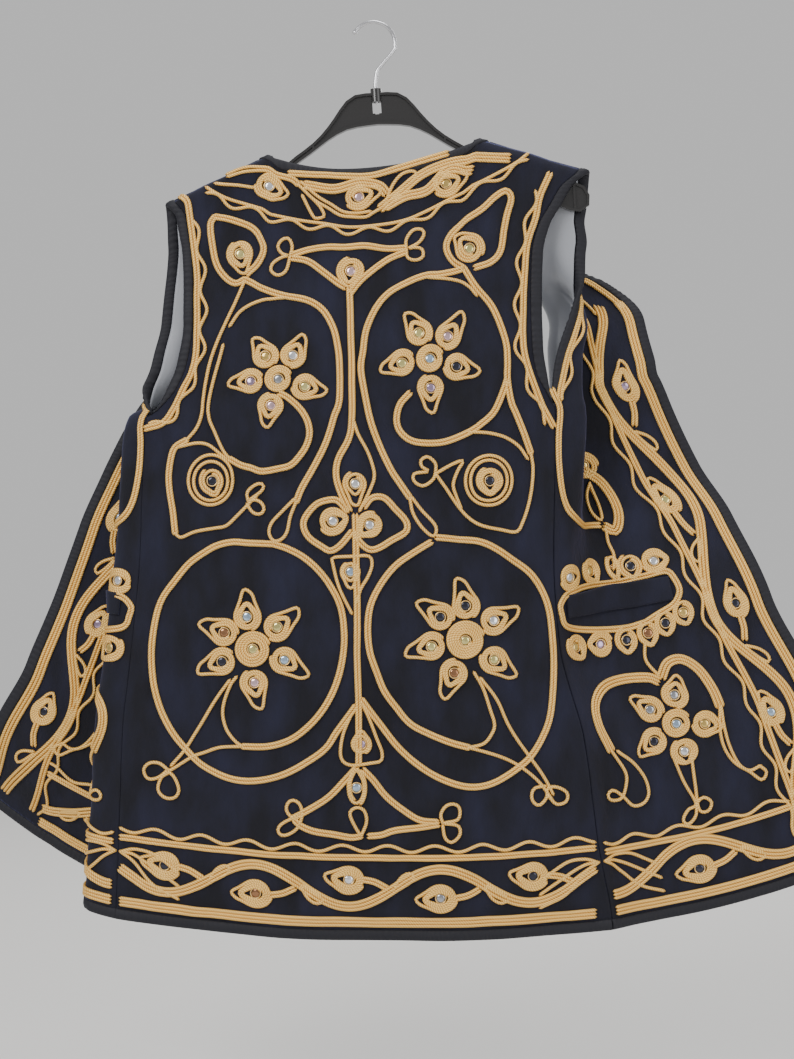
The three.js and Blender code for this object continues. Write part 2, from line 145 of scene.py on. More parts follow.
def topDrop(across): # the back's upper edge: neck scoop, then shoulder
    a = np.abs(across)
    scoop = -cut["neckRise"] * clamp(a / cut["halfNeck"]) ** 2.2
    out = (a - cut["halfNeck"]) / (cut["shoulderHalf"] - cut["halfNeck"])
    return np.where(a < cut["halfNeck"], scoop, mix(-cut["neckRise"], cut["shoulderDrop"], out))


def sewnDrop(across): # where the neck's binding is sewn down
    near = clamp(np.abs(across) / cut["neckSewn"]) ** 2.2
    return mix(cut["binding"], topDrop(np.array(cut["neckSewn"])), near)


def hemDrop(across):
    a = across / cut["hemHalf"]
    return cut["hemDrop"] - cut["hemCurve"] * a * a + cut["hemLean"] * a


def seat(below): # the roll over the hanger's arms
    turn = np.minimum(below / cut["seat"], math.pi / 2)
    return cut["seat"] * np.sin(turn), cut["seat"] * (turn - 1 + np.cos(turn))


def backPoint(across, drop):
    half = curveAt(backTable, "half", drop)
    share = across / half
    centre = curveAt(backTable, "centre", drop)
    left, right = curveAt(backTable, "left", drop), curveAt(backTable, "right", drop)
    x = centre + np.abs(share) * (np.where(across < 0, left, right) - centre)
    onHanger = ease((np.abs(across) - cut["halfNeck"] + 10) / 10)
    off, gain = seat(drop - topDrop(across))
    tilt = np.tan(np.radians(curveAt(backTable, "tilt", drop)))
    lift = onHanger * gain * (1 - ease(drop / 150))
    inside = 1 - np.minimum(share * share, 1)
    wave = 3.5 * np.sin(2 * math.pi * across / 175 + 0.8)
    hang = cut["belly"] * ease(drop / 200) - wave * ease((drop - 380) / 250)
    y = -mix(cut["seat"], off, onHanger) - hang * inside
    return np.stack([x, y, cut["napeZ"] - drop + (x - centre) * tilt + lift], axis=-1)


def frontPoints(side, ss, drops): # a grid of points: rows of the cloth at each drop
    table, sign = frontTables[side], signs[side]
    row = {name: curveAt(table, name, drops)[:, None] for name in frontNames.split()}
    half = sign * curveAt(backTable, "half", drops)
    start = backPoint(half, drops)
    fine = np.arange(ss[0] - 1, ss[-1] + 1.5, 0.5)
    turned = ease((fine - row["lead"]) / cut["turn"])
    returned = ease((fine - row["lead"] - cut["turn"] - row["run"]) / cut["turn"])
    heading = np.radians(mix(mix(row["first"], row["second"], turned), row["third"], returned))
    x = np.cumsum(sign * np.cos(heading) * 0.5, axis=1)
    y = np.cumsum(np.sin(heading) * 0.5, axis=1)
    out = np.zeros((len(drops), len(ss), 3))
    for i in range(len(drops)):
        for k, (line, base) in enumerate(((x[i], sign * row["aside"][i, 0]), (y[i], row["behind"][i, 0]))):
            zero = np.interp(-0.25, fine, line)
            out[i, :, k] = np.interp(ss - 0.25, fine, line) - zero + base + start[i, k]
    share = ss[None, :] / row["width"]
    sweep = mix(1, mix(0.3, 1, share), ease((drops[:, None] - 60) / 200))
    out[:, :, 2] = start[:, 2:3] + row["climb"] * share * sweep
    below = drops - cut["shoulderDrop"]
    for i in np.nonzero(below < cut["shoulderEase"])[0]:
        across = sign * mix(cut["shoulderHalf"], cut["halfNeck"], share[i])
        seam = backPoint(across, topDrop(across))
        off, gain = seat(below[i])
        seam = seam + np.array([0, off, gain - below[i]])
        out[i] = mix(seam, out[i], ease(below[i] / cut["shoulderEase"]))
    return out


# Creases, each a soft ridge or trough laid between two places on a panel
creaseNames = "fromU fromV toU toV width height"
creases = {
    "back": [
        [-150, 236, -120, 420, 26, 1.5], [-176, 300, -150, 560, 22, -1.6], [140, 236, 108, 400, 24, 1.4],
        [165, 330, 128, 600, 26, -1.5], [-60, 60, 20, 120, 18, -0.8], [30, 50, 70, 130, 16, 0.8],
        [-20, 240, 30, 520, 30, 1.1], [-95, 300, -40, 350, 16, 0.9], [60, 300, 110, 350, 16, -0.9],
        [-140, 590, -150, 690, 22, 2.0], [-60, 575, -50, 690, 20, -1.6], [30, 590, 22, 690, 24, 1.7],
        [112, 585, 122, 690, 20, -1.8], [170, 540, 190, 690, 20, 1.6], [-195, 520, -205, 690, 18, -1.5],
        [-110, 130, -160, 210, 16, 0.9], [90, 130, 130, 215, 16, -0.9],
    ],
    "right": [
        [18, 250, 30, 420, 14, 1.4], [60, 300, 90, 470, 20, -1.4], [95, 470, 120, 640, 24, 1.8],
        [40, 470, 46, 690, 18, 1.6], [150, 420, 190, 640, 22, -1.4], [185, 600, 215, 700, 18, 1.4],
        [120, 200, 150, 330, 16, -1.2], [10, 520, 14, 690, 12, -1.6],
    ],
    "left": [
        [120, 300, 150, 460, 20, -1.4], [95, 470, 120, 640, 24, 1.6], [170, 470, 200, 690, 20, 1.3],
        [150, 600, 160, 700, 18, -1.4], [10, 300, 14, 640, 12, 1.6],
    ],
}


def ripple(u, v, seed): # slow, uneven waves from a few sines
    local = np.random.default_rng(seed)
    total = np.zeros(np.broadcast(u, v).shape)
    for _ in range(7):
        turn, size, phase = local.uniform(0, math.pi), local.uniform(30, 90), local.uniform(0, 7)
        total += np.sin((u * math.cos(turn) + v * math.sin(turn)) * 2 * math.pi / size + phase)
    return total / 7


def creased(kind, u, v):
    total = 1.1 * ripple(u, v, 5 if kind == "back" else 9)
    for row in creases[kind]:
        fromU, fromV, toU, toV, width, height = row
        alongU, alongV = toU - fromU, toV - fromV
        length = math.hypot(alongU, alongV)
        along = ((u - fromU) * alongU + (v - fromV) * alongV) / length ** 2
        aside = ((u - fromU) * alongV - (v - fromV) * alongU) / length
        aside = aside + 5 * np.sin(along * 4 + fromU)
        fade = ease(along / 0.3) * ease((1 - along) / 0.3)
        total += height * np.exp(-(aside / width * 2) ** 2) * fade
    return total


# Panels: a fine grid of points and outward directions to lay everything on
def gridNormals(points, flip):
    du, dv = np.gradient(points, axis=1), np.gradient(points, axis=0)
    out = np.cross(du, dv)
    out /= np.linalg.norm(out, axis=-1, keepdims=True) + 1e-12
    return -out if flip else out


def makePanel(kind):
    if kind == "back":
        us, vs = np.linspace(-1.02, 1.02, 231), np.arange(-24.0, 712.0, 2.5)
        half = curveAt(backTable, "half", vs)[:, None]
        across = us[None, :] * half
        points = backPoint(across, np.broadcast_to(vs[:, None], across.shape))
        bare = gridNormals(points, True)
        points = points + bare * creased(kind, across, vs[:, None])[..., None]
        flip = True
    else:
        us, vs = np.arange(-4.0, 258.0, 2.0), np.arange(14.0, 716.0, 2.5)
        points = frontPoints(kind, us, vs)
        flip = kind == "right"
        bare = gridNormals(points, flip)
        near = ease(us / 18)[None, :]
        points = points + bare * (creased(kind, us[None, :], vs[:, None]) * near)[..., None]
    return {"kind": kind, "us": us, "vs": vs, "points": points, "outs": gridNormals(points, flip)}


def edgeSeen(drop, right): # how far the back's edge hangs from its centre line
    centre = curveAt(backTable, "centre", drop)
    return np.where(right, curveAt(backTable, "right", drop) - centre,
                    centre - curveAt(backTable, "left", drop))


def lay(panel, u, v, off=0.0): # a place on a panel, off its velvet's and lining's common face
    u, v = np.broadcast_arrays(np.asarray(u, float), np.asarray(v, float))
    us, vs = panel["us"], panel["vs"]
    x = np.clip((u - us[0]) / (us[1] - us[0]), 0, len(us) - 1.001)
    y = np.clip((v - vs[0]) / (vs[1] - vs[0]), 0, len(vs) - 1.001)
    i, j = x.astype(int), y.astype(int)
    s, t = (x - i)[..., None], (y - j)[..., None]

    def blend(grid):
        top = mix(grid[j, i], grid[j, i + 1], s)
        return mix(top, mix(grid[j + 1, i], grid[j + 1, i + 1], s), t)

    out = blend(panel["outs"])
    out /= np.linalg.norm(out, axis=-1, keepdims=True) + 1e-12
    return blend(panel["points"]) + out * np.asarray(off, float)[..., None], out


panels = {kind: makePanel(kind) for kind in ("back", "left", "right")}
print("panels laid out")
# What a user would change: colours first, then the sewing
look = {
    "velvet": (0.004, 0.004, 0.010), "velvetSheen": (0.10, 0.11, 0.26), "satin": (0.30, 0.31, 0.34),
    # the cord's darker second colour is painted shade for the grooves between its twists
    "binding": (0.003, 0.003, 0.008), "cord": (0.95, 0.60, 0.17), "cordShade": (0.52, 0.25, 0.035),
    "rim": (0.72, 0.50, 0.22), "plastic": (0.015, 0.014, 0.014),
    "wire": (0.62, 0.62, 0.64), "floor": (0.72, 0.71, 0.69), "world": (0.80, 0.80, 0.80),
}
foils = {
    "dark": (0.06, 0.06, 0.08), "white": (0.88, 0.88, 0.90), "gold": (0.80, 0.56, 0.18),
    "yellow": (0.85, 0.74, 0.30), "pink": (0.80, 0.56, 0.60), "mauve": (0.48, 0.36, 0.50),
    "grey": (0.46, 0.47, 0.50), "blue": (0.50, 0.64, 0.80), "brown": (0.40, 0.20, 0.10),
}
foilNames = list(foils)
cordSize = {"radius": 1.65, "step": 3.0, "pitch": 3.0, "lift": 1.2, "disc": 4.0,
            "tuck": 0.8}


def newMaterial(name, colour, rough, metal=0.0, sheen=0.0, sheenTint=None, coat=0.0):
    made = bpy.data.materials.new(name)
    made.use_nodes = True
    shader = made.node_tree.nodes["Principled BSDF"]
    shader.inputs["Base Color"].default_value = (*colour, 1)
    shader.inputs["Roughness"].default_value = rough
    shader.inputs["Metallic"].default_value = metal
    shader.inputs["Sheen Weight"].default_value = sheen
    shader.inputs["Coat Weight"].default_value = coat
    if sheenTint:
        shader.inputs["Sheen Tint"].default_value = (*sheenTint, 1)
        shader.inputs["Sheen Roughness"].default_value = 0.35
    return made


# mottled colour and a fine relief
def addNoise(made, scale, low, high, bump=0.0, bumpScale=None, stretch=(1, 1, 1)):
    tree = made.node_tree
    shader = tree.nodes["Principled BSDF"]
    coord = tree.nodes.new("ShaderNodeTexCoord")
    mapping = tree.nodes.new("ShaderNodeMapping")
    mapping.inputs["Scale"].default_value = stretch
    tree.links.new(coord.outputs["Object"], mapping.inputs["Vector"])
    noise = tree.nodes.new("ShaderNodeTexNoise")
    noise.inputs["Scale"].default_value = scale
    noise.inputs["Detail"].default_value = 6
    tree.links.new(mapping.outputs["Vector"], noise.inputs["Vector"])
    ramp = tree.nodes.new("ShaderNodeValToRGB")
    ramp.color_ramp.elements[0].position, ramp.color_ramp.elements[1].position = 0.35, 0.7
    ramp.color_ramp.elements[0].color, ramp.color_ramp.elements[1].color = (*low, 1), (*high, 1)
    tree.links.new(noise.outputs["Fac"], ramp.inputs["Fac"])
    tree.links.new(ramp.outputs["Color"], shader.inputs["Base Color"])
    if bump:
        fine = tree.nodes.new("ShaderNodeTexNoise")
        fine.inputs["Scale"].default_value = bumpScale
        tree.links.new(mapping.outputs["Vector"], fine.inputs["Vector"])
        raised = tree.nodes.new("ShaderNodeBump")
        raised.inputs["Strength"].default_value = bump
        raised.inputs["Distance"].default_value = 0.0006
        tree.links.new(fine.outputs["Fac"], raised.inputs["Height"])
        tree.links.new(raised.outputs["Normal"], shader.inputs["Normal"])


def braid(made): # a twisted cord: slanting bands along its own map, the dark bands painted shade in the grooves between the twists
    tree = made.node_tree
    shader = tree.nodes["Principled BSDF"]
    coord = tree.nodes.new("ShaderNodeTexCoord")
    wave = tree.nodes.new("ShaderNodeTexWave")
    wave.bands_direction = "DIAGONAL"
    wave.inputs["Scale"].default_value = 1.6
    wave.inputs["Distortion"].default_value = 0.6
    tree.links.new(coord.outputs["UV"], wave.inputs["Vector"])
    ramp = tree.nodes.new("ShaderNodeValToRGB")
    # the dark end of the ramp is painted shade, the light end the cord's own gold
    ramp.color_ramp.elements[0].color = (*look["cordShade"], 1)
    ramp.color_ramp.elements[1].color = (*look["cord"], 1)
    ramp.color_ramp.elements[1].position = 0.55
    tree.links.new(wave.outputs["Fac"], ramp.inputs["Fac"])
    tree.links.new(ramp.outputs["Color"], shader.inputs["Base Color"])
    raised = tree.nodes.new("ShaderNodeBump")
    raised.inputs["Strength"].default_value = 0.5
    raised.inputs["Distance"].default_value = 0.0005
    tree.links.new(wave.outputs["Fac"], raised.inputs["Height"])
    tree.links.new(raised.outputs["Normal"], shader.inputs["Normal"])


velvet = newMaterial("velvet", look["velvet"], 0.95, sheen=0.8, sheenTint=look["velvetSheen"])
# lighter streaks: the crushed pile pattern is real, its lightness is painted sheen
addNoise(velvet, 34, (0.002, 0.002, 0.006), (0.008, 0.009, 0.026), 0.9, 320, stretch=(1, 1, 0.45))
satin = newMaterial("satin", look["satin"], 0.36, sheen=0.3)
addNoise(satin, 5, (0.24, 0.25, 0.28), (0.36, 0.37, 0.40), 0.15, 500)
binding = newMaterial("binding", look["binding"], 0.7, sheen=0.05, sheenTint=look["velvetSheen"])
cordGold = newMaterial("cord", look["cord"], 0.42, metal=0.35)
braid(cordGold)
rim = newMaterial("rim", look["rim"], 0.3, metal=0.9)
plastic = newMaterial("plastic", look["plastic"], 0.22, coat=0.4)
wire = newMaterial("wire", look["wire"], 0.2, metal=1.0)
mirrors = [newMaterial("mirror " + name, foils[name], 0.12, metal=0.85) for name in foilNames]
for bare in mirrors:
    addNoise(bare, 160, tuple(0.7 * c for c in foils[bare.name.split()[1]]),
             foils[bare.name.split()[1]], 0.25, 220)


# Building pieces
def gridPiece(name, points, uvs, materials, gaps=None): # a grid laid over rows of points
    rows, cols = points.shape[:2]
    bm = bmesh.new()
    bmesh.ops.create_grid(bm, x_segments=cols - 1, y_segments=rows - 1, size=1)
    name = name.replace(" ", "_") + "_worn"
    mesh = bpy.data.meshes.new(name)
    bm.to_mesh(mesh)
    bm.free()
    flat = np.zeros(len(mesh.vertices) * 3)
    mesh.vertices.foreach_get("co", flat)
    flat = flat.reshape(-1, 3)
    col = np.rint((flat[:, 0] + 1) / 2 * (cols - 1)).astype(int)
    row = np.rint((flat[:, 1] + 1) / 2 * (rows - 1)).astype(int)
    mesh.vertices.foreach_set("co", (points[row, col] * mm).ravel())
    layer = mesh.uv_layers.new(name="UVMap")
    corners = np.zeros(len(mesh.loops), int)
    mesh.loops.foreach_get("vertex_index", corners)
    layer.data.foreach_set("uv", uvs[row[corners], col[corners]].ravel())
    lowest = row[corners].reshape(-1, 4).min(axis=1) # each face's first ring
    bm = bmesh.new()
    bm.from_mesh(mesh)
    if gaps is not None:
        bm.faces.ensure_lookup_table()
        drop = [bm.faces[i] for i in np.nonzero(np.isin(lowest, gaps))[0]]
        bmesh.ops.delete(bm, geom=drop, context="FACES")
        bmesh.ops.remove_doubles(bm, verts=bm.verts, dist=2e-6)
        bmesh.ops.recalc_face_normals(bm, faces=bm.faces)
    for face in bm.faces:
        face.smooth = True
    bm.to_mesh(mesh)
    bm.free()
    mesh.update()
    made = bpy.data.objects.new(name, mesh)
    bpy.context.collection.objects.link(made)
    for material in materials:
        mesh.materials.append(material)
    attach(made, "root")
    return made


def cloth(name, points, outs, uvs, material, wall, nodeName):
    normals = np.cross(np.gradient(points, axis=1), np.gradient(points, axis=0))
    if np.sum(normals * outs) < 0: # columns run the other way
        points, uvs = points[:, ::-1], uvs[:, ::-1]
    made = gridPiece(name, points, uvs, [material])
    solid = made.modifiers.new("wall", "SOLIDIFY")
    solid.thickness, solid.offset = wall * mm, -1.0
    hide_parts(nodeName)
    return made


def panelGrid(kind, cols, rows, inset):
    panel, sign = panels[kind], signs.get(kind, 0)
    k = np.linspace(0, 1, rows)[:, None]
    if kind == "back":
        share = np.linspace(-1, 1, cols)[None, :]
        half = lambda v: curveAt(backTable, "half", v)
        across = share * cut["shoulderHalf"]
        top = np.where(np.abs(across) < cut["neckSewn"], sewnDrop(across), topDrop(across))
        v = mix(top, hemDrop(share * cut["hemHalf"]) - inset, k)
        trim = np.where(v > cut["underarm"], 0.0, mix(inset, 1.0, ease((v - cut["underarm"]) / 30 + 1)))
        u = share * (1 - trim / half(v))
        return lay(panel, u, v, 0.0), np.stack([u * half(v), v], axis=-1)
    foot = float(hemDrop(np.array(sign * cut["hemHalf"]))) - inset
    v = mix(20.0, foot, k) + np.zeros((1, cols))
    trim = np.where(v > cut["underarm"], 0.0, mix(inset, 1.0, ease((v - cut["underarm"]) / 30 + 1)))
    width = curveAt(frontTables[kind], "width", v)
    u = mix(trim, width - inset, np.linspace(0, 1, cols)[None, :])
    return lay(panel, u, v, 0.0), np.stack([u, v], axis=-1)


titles = {"back": "back", "left": "front_left", "right": "front_right"}
clothPieces, liningPieces = {}, {}
for kind, cols, rows in (("back", 170, 230), ("left", 110, 230), ("right", 110, 230)):
    (base, outs), flatUv = panelGrid(kind, cols, rows, cut["binding"])
    outer = base + outs * cut["velvetTop"]
    made = cloth("velvet " + titles[kind], outer, outs, flatUv / 100, velvet, 1.8,
                 "velvet_" + titles[kind])
    clothPieces[kind] = made
    (base, outs), flatUv = panelGrid(kind, cols // 2, rows // 2, cut["binding"])
    folds = 0.5 * ripple(flatUv[..., 0] * 2.2, flatUv[..., 1] * 0.4, 21)
    soft = 1.1 + 1.1 * np.sin(flatUv[..., 0] / 9 + 2.2 * ripple(flatUv[..., 0], flatUv[..., 1] * 0.3, 8))
    inner = base + outs * (cut["liningTop"] - 0.5 - soft + np.minimum(folds, 0.4))[..., None]
    liningPieces[kind] = cloth("lining " + titles[kind], inner, -outs, flatUv / 100, satin, 1.0,
          "lining_" + titles[kind])
print("velvet and linings")

profile = np.array([
    [10, 0.4], [10, 1.6], [9.5, 2.5], [8, 3.0], [5.5, 3.3], [3, 3.0], [1.2, 2.3], [0.2, 1.1], [0, 0.2],
    [0.5, -0.9], [1.8, -1.8], [5, -2.3], [8, -2.1], [9.6, -1.7], [10, -1.0], [10, 0.4],
]) # across the binding: in from the edge, and off the cloth


def bindingPiece(name, places, seed, nodeName): # places(e) gives points and outs a fixed distance in
    insets = profile[:, 0]
    rowsOf = [places(e) for e in insets]
    base = np.stack([p for p, _ in rowsOf], axis=1)
    outs = np.stack([o for _, o in rowsOf], axis=1)
    middle = base[:, 8]
    run = np.concatenate([[0], np.cumsum(np.linalg.norm(np.diff(middle, axis=0), axis=1))])
    steps = np.arange(0, run[-1], 1.1)
    keep = lambda grid: np.stack([[np.interp(steps, run, grid[:, j, k]) for k in range(3)]
                                  for j in range(grid.shape[1])], axis=0).transpose(2, 0, 1)
    base, outs = keep(base), keep(outs)
    local = np.random.default_rng(seed)
    phase = np.interp(steps, np.arange(0, run[-1] + 40, 12),
                      np.cumsum(local.uniform(1.6, 4.6, int((run[-1] + 40) / 12) + 1)[
                          :len(np.arange(0, run[-1] + 40, 12))]) * 5)
    pucker = 0.5 * np.sin(phase)[:, None] * np.sin(np.linspace(0, 4 * math.pi, 16))[None, :] ** 2
    off = profile[None, :, 1] + pucker * np.sign(profile[None, :, 1])
    points = base + outs * off[..., None]
    for end, fold in ((0, 1), (-1, -2)): # the ends close on their own middle
        points[end] = points[fold].mean(axis=0)
    uvs = np.stack(np.broadcast_arrays(steps[:, None] / 10, np.linspace(0, 1, 16)[None, :]), axis=-1)
    made = gridPiece(name, points, uvs, [binding], gaps=[-5])
    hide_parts(nodeName)
    return made


def line(a, b, step=1.0):
    return np.linspace(a, b, max(2, int(abs(b - a) / step)))


backShare = line(-1.008, 1.008, 0.003)
bindingPiece("binding hem back", lambda e: lay(
    panels["back"], backShare, hemDrop(backShare * cut["hemHalf"]) - e), 1, "binding_hem_back")
neckAcross = line(-104, 104)
bindingPiece("binding neck", lambda e: lay(
    panels["back"], neckAcross / cut["shoulderHalf"],
    mix(topDrop(neckAcross), sewnDrop(neckAcross), e / cut["binding"])),
    2, "binding_neck")
for side, sign in signs.items():
    foot = float(hemDrop(np.array(sign * cut["hemHalf"])))
    table = frontTables[side]
    v = line(20.3, foot)
    bindingPiece("binding front edge " + side, lambda e: lay(
        panels[side], curveAt(table, "width", v) - e, v), 3, "binding_front_edge_" + side)
    s = line(-1.5, float(curveAt(table, "width", np.array(foot))) - 3)
    bindingPiece("binding hem front " + side, lambda e: lay(
        panels[side], s, np.full(len(s), foot - e)), 4, "binding_hem_front_" + side)
    down, up = line(20.5, 220), line(220, 20.5)

    def around(e, side=side, sign=sign, down=down, up=up):
        taper = lambda v: np.where(e > 0, mix(e, e * 0.1, ease((v - 221) / 30 + 1)), 0)
        a, aOut = lay(panels["back"], sign * (1 - taper(up) / curveAt(backTable, "half", up)), up)
        b, bOut = lay(panels[side], taper(down), down)
        return np.concatenate([a, b]), np.concatenate([aOut, bOut])

    bindingPiece("binding armhole " + side, around, 5, "binding_armhole_" + side)
print("bindings")

# Pocket lips: a band that stands off the front
for side, (fromS, toS, lowV, highV) in {"right": (13, 123, 410, 389), "left": (15, 139, 406, 385)}.items():
    share, h = np.linspace(0, 1, 60)[None, :], np.linspace(0, 1, 12)[:, None]
    off = cut["velvetTop"] + 0.3 + 9 * h * np.sin(math.pi * share) + 1.8
    u, v = mix(fromS, toS, share) + 0 * h, mix(lowV, highV, h) + 0 * share
    points, outs = lay(panels[side], u, v, off)
    cloth("pocket lip " + side, points, outs, np.stack([u, v], axis=-1) / 100, velvet,
          1.8, "pocket_lip_" + side)
print("pocket lips")


# Cords: every path is a line of places on a panel
def smoothPath(path, step): # an even Catmull-Rom line through the places
    path = np.asarray(path, float)
    if len(path) == 2:
        path = np.array([path[0], path.mean(axis=0), path[1]])
    ends = np.vstack([2 * path[0] - path[1], path, 2 * path[-1] - path[-2]])
    t = np.linspace(0, 1, 9)[:-1][:, None]
    spans = []
    for a, b, c, d in zip(ends[:-3], ends[1:-2], ends[2:-1], ends[3:]):
        spans.append(0.5 * (2 * b + (c - a) * t + (2 * a - 5 * b + 4 * c - d) * t ** 2
                            + (3 * b - a - 3 * c + d) * t ** 3))
    dense = np.vstack(spans + [path[-1:]])
    run = np.concatenate([[0], np.cumsum(np.hypot(*np.diff(dense, axis=0).T))])
    count = max(3, int(run[-1] / step) + 1)
    at = np.linspace(0, run[-1], count)
    return np.stack([np.interp(at, run, dense[:, 0]), np.interp(at, run, dense[:, 1])], axis=1)


def beside(path, offset): # a line alongside
    d = np.gradient(path, axis=0)
    d /= np.linalg.norm(d, axis=1, keepdims=True) + 1e-9
    return path + offset * np.stack([d[:, 1], -d[:, 0]], axis=1)


class Work: # what is sewn on one panel
    def __init__(self, kind, place):
        self.kind, self.place = kind, place # place turns drawing coordinates into panel columns
        self.paths, self.discs = [], []

    def run(self, path, strands=1, place=None):
        dense = smoothPath(path, cordSize["step"])
        first, last = dense[0] - dense[1], dense[-1] - dense[-2]
        tuck = cordSize["tuck"] # the ends tuck under their neighbours
        dense = np.vstack([dense[0] + tuck * first, dense, dense[-1] + tuck * last])
        for k in range(strands):
            offset = (k - (strands - 1) / 2) * cordSize["pitch"]
            self.paths.append((beside(dense, offset), place or self.place))

    def coil(self, x, y, rx, ry=None, tip=None, colour="dark", place=None): # a wound cord round a mirror
        ry = ry or rx
        disc = min(cordSize["disc"], rx - 4.5)
        turns = max(2, round((rx - disc - 0.6) / 2.7))
        theta = np.arange(0, turns * 2 * math.pi + 0.01, 0.3)
        size = mix((disc + 1.7) / rx, 1, theta / theta[-1])
        if tip is not None: # each turn is drawn out further, the last one to the tip
            far = math.hypot((tip[0] - x) / rx, (tip[1] - y) / ry)
            stage = clamp(theta / (theta[-1] - math.pi))
            reach = np.maximum(mix(1.0, far, stage ** 5) / size, 1.001)
            apart = np.abs(theta % (2 * math.pi) - math.pi)
            size = size / np.cos(np.maximum(np.arccos(1 / reach) - apart, 0))
            theta = theta + math.atan2((tip[1] - y) / ry, (tip[0] - x) / rx) + math.pi
        points = np.stack([x + rx * size * np.cos(theta), y + ry * size * np.sin(theta)], axis=1)
        self.paths.append((smoothPath(points, 2.4), place or self.place))
        self.discs.append((x, y, foilNames.index(colour), disc, place or self.place))


def backPlace(a, d): # millimetres across the hanging back, and down the cloth
    centre = curveAt(backTable, "centre", d)
    u = a - 15 - centre
    return u / edgeSeen(d, u > 0), d


back = Work("back", backPlace)

